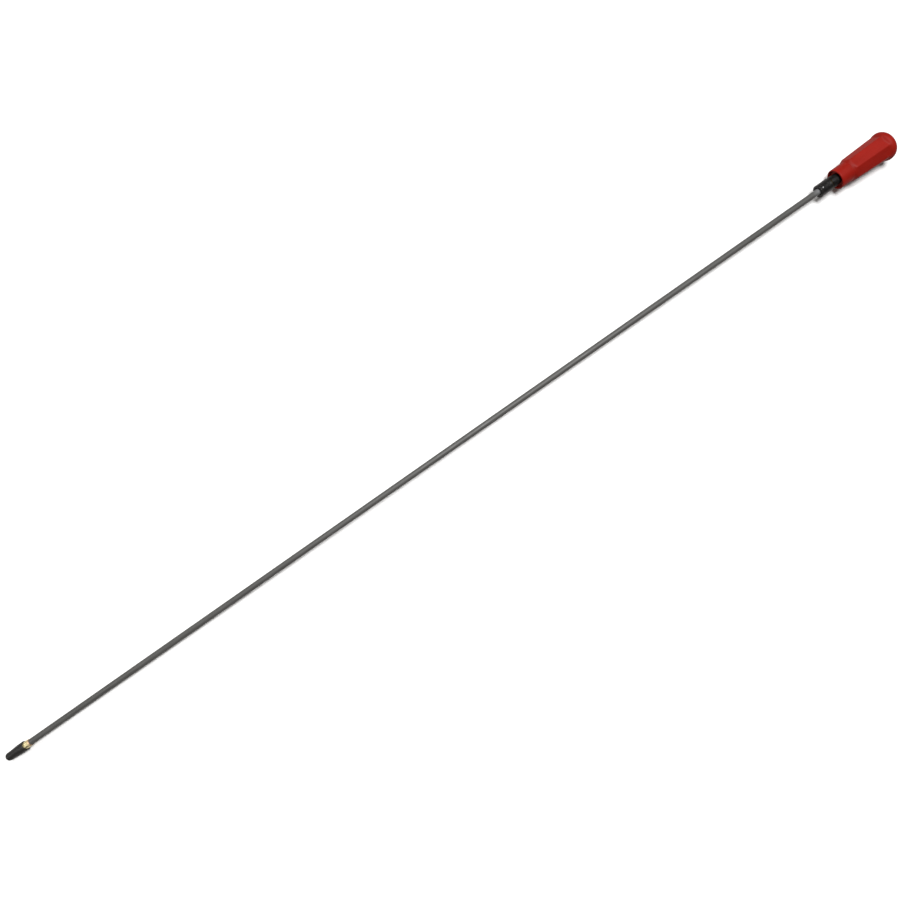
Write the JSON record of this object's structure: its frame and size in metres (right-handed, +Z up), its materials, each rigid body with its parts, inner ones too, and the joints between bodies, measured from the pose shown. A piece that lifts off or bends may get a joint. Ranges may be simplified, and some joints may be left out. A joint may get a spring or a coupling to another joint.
{
  "type": "cleaning rod",
  "caption": "Straight one-piece coated cleaning rod with a threaded brass tip under a push-on cap and a fluted handle that spins freely on ball bearings.",
  "frame": {"origin": "centre of the mouth of the brass tip's female thread, on the rod's axis", "axes": "+X along the rod, out of the tip, the way an accessory leaves; +Z up; the handle lies towards -X"},
  "size_m": [1.0228, 0.0284, 0.0284],
  "materials": {
    "spring_steel": "ground spring steel",
    "grey_coating": "satin grey plastic coating with fine drawn lines",
    "brass": "turned brass, bright with fine turning marks",
    "black_cap": "soft black moulded cap",
    "black_steel": "black oxide, satin",
    "screw_steel": "bright steel",
    "dark_bronze": "oil-darkened bronze",
    "bearing_steel": "ground and polished",
    "plated_steel": "zinc plated",
    "red_plastic": "moulded red plastic, semi-gloss"
  },
  "bodies": {
    "rod": {"steel_core_rod": "spring_steel", "rod_coating": "grey_coating", "brass_tip_fitting": "brass", "rod_collar": "black_steel", "collar_set_screw": "screw_steel", "thrust_bush": "dark_bronze", "front_bearing_inner_ring": "bearing_steel", "rear_bearing_inner_ring": "bearing_steel", "bearing_inner_spacer": "plated_steel", "rear_washer": "plated_steel", "lock_nut": "plated_steel"},
    "handle": {"handle_grip": "red_plastic", "bearing_sleeve": "black_steel", "bearing_outer_spacer": "plated_steel", "sleeve_circlip": "spring_steel", "front_bearing_outer_ring": "bearing_steel", "rear_bearing_outer_ring": "bearing_steel", "front_bearing_shields": "plated_steel", "rear_bearing_shields": "plated_steel"},
    "front_ball_set": {"front_bearing_balls": "bearing_steel", "front_bearing_cage": "plated_steel"},
    "rear_ball_set": {"rear_bearing_balls": "bearing_steel", "rear_bearing_cage": "plated_steel"},
    "cap": {"tip_protector_cap": "black_cap"}
  },
  "joints": [
    {"name": "handle_spin", "type": "hinge", "parent": "rod", "child": "handle", "pos_m": [-0.95, 0, 0], "axis": [1, 0, 0], "continuous": true},
    {"name": "front_cage_spin", "type": "hinge", "parent": "rod", "child": "front_ball_set", "pos_m": [-0.95, 0, 0], "axis": [1, 0, 0], "continuous": true},
    {"name": "rear_cage_spin", "type": "hinge", "parent": "rod", "child": "rear_ball_set", "pos_m": [-0.95, 0, 0], "axis": [1, 0, 0], "continuous": true},
    {"name": "cap_pull", "type": "slide", "parent": "rod", "child": "cap", "axis": [1, 0, 0], "range_m": [0, 0.08]}
  ],
  "couplings": [
    {"joint": "front_cage_spin", "follows": "handle_spin", "ratio": 0.5857},
    {"joint": "rear_cage_spin", "follows": "handle_spin", "ratio": 0.5857}
  ]
}
